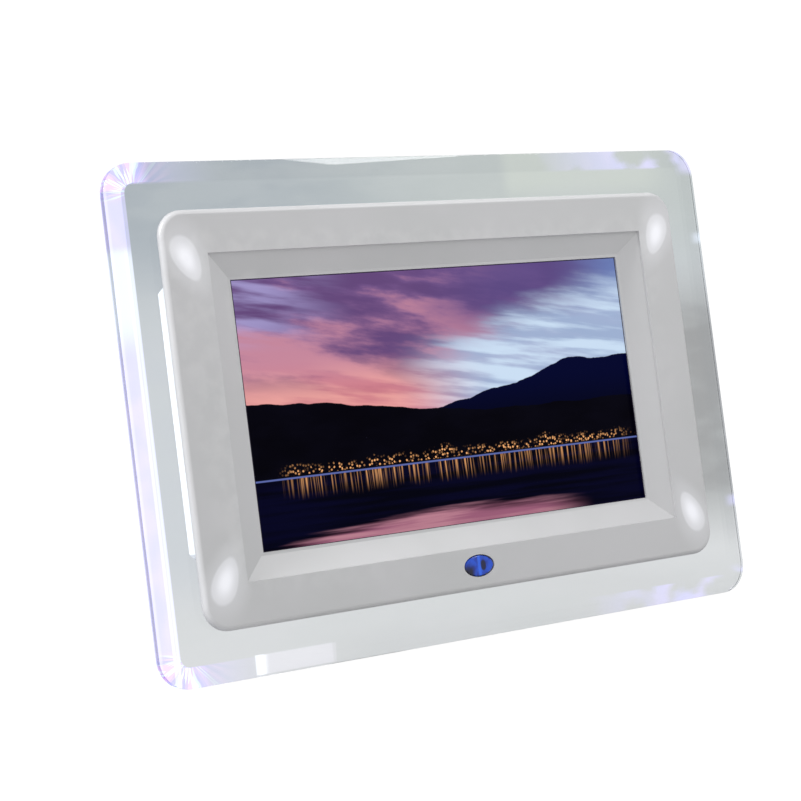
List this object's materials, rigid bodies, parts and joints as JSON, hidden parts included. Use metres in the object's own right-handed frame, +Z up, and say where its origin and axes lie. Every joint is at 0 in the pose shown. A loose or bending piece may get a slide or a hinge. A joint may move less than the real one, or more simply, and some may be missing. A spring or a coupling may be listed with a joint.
{
  "type": "digital photo frame",
  "caption": "Table-top digital photo frame: wide screen in a white bezel on an edge-lit clear plate, with rear keys, side sockets and a fold-out leg.",
  "frame": {"origin": "on the table, under the middle of the whole frame with its leg open", "axes": "+X to the viewer's right along the screen, -Y the way the screen faces, +Z up; the panel leans back 13.6 degrees from upright"},
  "size_m": [0.2336, 0.0892, 0.1587],
  "materials": {
    "white_plastic": "satin moulded white plastic, slightly translucent",
    "clear_acrylic": "clear cast acrylic with a polished bevel, lit lilac from its edge",
    "blue_acrylic": "deep blue infrared window",
    "screen_glass": "lit picture behind clear glass",
    "steel": "plated sheet steel",
    "black_plastic": "moulded black plastic",
    "green_board": "green solder mask",
    "white_film": "white diffuser film",
    "copper": "enamelled copper wire",
    "cable_film": "amber flexible flat cable",
    "lamp_resin": "clear lamp resin, lit",
    "grey_rubber": "soft grey rubber"
  },
  "bodies": {
    "frame": {"acrylic_plate": "clear_acrylic", "front_bezel": "white_plastic", "ir_window": "blue_acrylic", "ir_receiver": "black_plastic", "ir_board": "green_board", "lcd_frame": "steel", "lcd_glass": "screen_glass", "lcd_backlight": "white_film", "lcd_back_plate": "steel", "main_board": "green_board", "processor_chip": "black_plastic", "memory_chip": "black_plastic", "timing_crystal": "steel", "power_coil": "copper", "lcd_connector": "white_film", "lcd_flat_cable": "cable_film", "card_slot": "steel", "usb_socket": "steel", "mini_usb_socket": "steel", "power_jack": "black_plastic", "rear_cover": "white_plastic", "key_board": "green_board", "key_cable": "cable_film", "light_switch": "steel", "speaker_left": "black_plastic", "speaker_right": "black_plastic", "stand_pin": "steel", "board_screw_1": "steel", "board_screw_2": "steel", "board_screw_3": "steel", "board_screw_4": "steel", "contact_up": "black_plastic", "contact_down": "black_plastic", "contact_left": "black_plastic", "contact_right": "black_plastic", "contact_enter": "black_plastic", "contact_power": "black_plastic", "contact_menu": "black_plastic", "light_top_left": "lamp_resin", "light_board_top_left": "green_board", "case_screw_top_left": "steel", "light_top_right": "lamp_resin", "light_board_top_right": "green_board", "case_screw_top_right": "steel", "light_bottom_left": "lamp_resin", "light_board_bottom_left": "green_board", "case_screw_bottom_left": "steel", "light_bottom_right": "lamp_resin", "light_board_bottom_right": "green_board", "case_screw_bottom_right": "steel"},
    "stand": {"stand_leg": "white_plastic", "foot_pad": "grey_rubber"},
    "light_knob": {"light_switch_knob": "black_plastic"},
    "up_key": {"key_up": "white_plastic"},
    "down_key": {"key_down": "white_plastic"},
    "left_key": {"key_left": "white_plastic"},
    "right_key": {"key_right": "white_plastic"},
    "enter_key": {"key_enter": "white_plastic"},
    "power_key": {"key_power": "white_plastic"},
    "menu_key": {"key_menu": "white_plastic"}
  },
  "joints": [
    {"name": "stand_fold", "type": "hinge", "parent": "frame", "child": "stand", "pos_m": [0, 0.00409, 0.09727], "axis": [-1, 0, 0], "range_deg": [0, 35]},
    {"name": "light_switch_slide", "type": "slide", "parent": "frame", "child": "light_knob", "axis": [1, 0, 0], "range_m": [0, 0.003]},
    {"name": "key_up_press", "type": "slide", "parent": "frame", "child": "up_key", "axis": [0, -0.972, 0.2351], "range_m": [0, 0.0004], "stiffness_N_per_m": 800, "springref_m": -0.0005},
    {"name": "key_down_press", "type": "slide", "parent": "frame", "child": "down_key", "axis": [0, -0.972, 0.2351], "range_m": [0, 0.0004], "stiffness_N_per_m": 800, "springref_m": -0.0005},
    {"name": "key_left_press", "type": "slide", "parent": "frame", "child": "left_key", "axis": [0, -0.972, 0.2351], "range_m": [0, 0.0004], "stiffness_N_per_m": 800, "springref_m": -0.0005},
    {"name": "key_right_press", "type": "slide", "parent": "frame", "child": "right_key", "axis": [0, -0.972, 0.2351], "range_m": [0, 0.0004], "stiffness_N_per_m": 800, "springref_m": -0.0005},
    {"name": "key_enter_press", "type": "slide", "parent": "frame", "child": "enter_key", "axis": [0, -0.972, 0.2351], "range_m": [0, 0.0004], "stiffness_N_per_m": 800, "springref_m": -0.0005},
    {"name": "key_power_press", "type": "slide", "parent": "frame", "child": "power_key", "axis": [0, -0.972, 0.2351], "range_m": [0, 0.0004], "stiffness_N_per_m": 800, "springref_m": -0.0005},
    {"name": "key_menu_press", "type": "slide", "parent": "frame", "child": "menu_key", "axis": [0, -0.972, 0.2351], "range_m": [0, 0.0004], "stiffness_N_per_m": 800, "springref_m": -0.0005}
  ]
}
